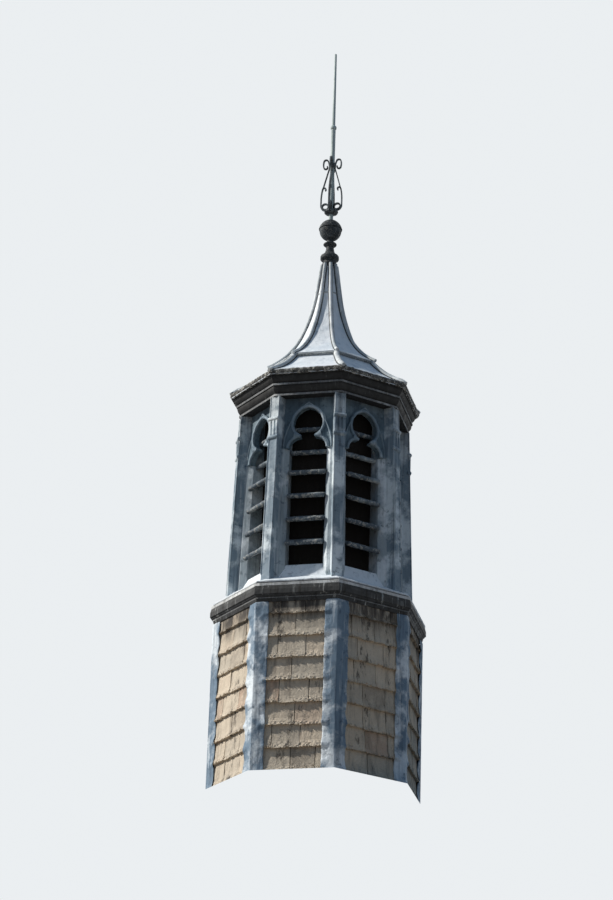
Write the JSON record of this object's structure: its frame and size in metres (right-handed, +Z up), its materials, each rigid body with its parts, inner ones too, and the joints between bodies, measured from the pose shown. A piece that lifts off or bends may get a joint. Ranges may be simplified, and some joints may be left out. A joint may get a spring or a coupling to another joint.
{
  "type": "roof cupola",
  "caption": "Eight-sided roof cupola: a slated drum, a louvred lantern with cusped arch heads, a bell-cast lead spire and a finial rod with scrollwork.",
  "frame": {"origin": "middle of the foot, on the level plane that the drum walls stand on", "axes": "+Z up the finial rod, -Y out of the front side of the eight, +X to the right of the front"},
  "size_m": [1.9124, 1.9124, 7.9085],
  "materials": {
    "slate_cladding": "matt riven slates, buff and pale brown",
    "corner_lead": "dull dressed lead, blue-grey with pale bloom",
    "cornice_lead": "dull lead, stained dark under the mouldings",
    "post_lead": "dull dressed lead, blue-grey",
    "jamb_lead": "dull dressed lead, blue-grey",
    "head_lead": "dull cast lead, blue-grey",
    "louvre_lead": "dull lead with lichen on the noses",
    "lining_boards": "dark tarred boards",
    "apron_lead": "pale weathered lead",
    "roof_lead": "pale weathered lead",
    "roll_lead": "pale weathered lead",
    "finial_lead": "dark weathered lead",
    "rod_iron": "worn grey-green paint on iron",
    "scroll_iron": "dark wrought iron"
  },
  "bodies": {
    "root": {"arch_head_back": "head_lead", "arch_head_back_left": "head_lead", "arch_head_back_right": "head_lead", "arch_head_front": "head_lead", "arch_head_front_left": "head_lead", "arch_head_front_right": "head_lead", "arch_head_left": "head_lead", "arch_head_right": "head_lead", "corner_post_1": "post_lead", "corner_post_2": "post_lead", "corner_post_3": "post_lead", "corner_post_4": "post_lead", "corner_post_5": "post_lead", "corner_post_6": "post_lead", "corner_post_7": "post_lead", "corner_post_8": "post_lead", "drum_corner_leads": "corner_lead", "drum_cornice": "cornice_lead", "drum_wall_back": "slate_cladding", "drum_wall_back_left": "slate_cladding", "drum_wall_back_right": "slate_cladding", "drum_wall_front": "slate_cladding", "drum_wall_front_left": "slate_cladding", "drum_wall_front_right": "slate_cladding", "drum_wall_left": "slate_cladding", "drum_wall_right": "slate_cladding", "eaves_cornice": "cornice_lead", "finial_ball": "finial_lead", "finial_base": "finial_lead", "finial_rod": "rod_iron", "finial_scrolls": "scroll_iron", "hip_rolls": "roll_lead", "inner_lining": "lining_boards", "lantern_apron": "apron_lead", "louvres_back": "louvre_lead", "louvres_back_left": "louvre_lead", "louvres_back_right": "louvre_lead", "louvres_front": "louvre_lead", "louvres_front_left": "louvre_lead", "louvres_front_right": "louvre_lead", "louvres_left": "louvre_lead", "louvres_right": "louvre_lead", "roof_skirt": "roof_lead", "roof_spire": "roof_lead", "window_jambs": "jamb_lead"}
  },
  "joints": []
}
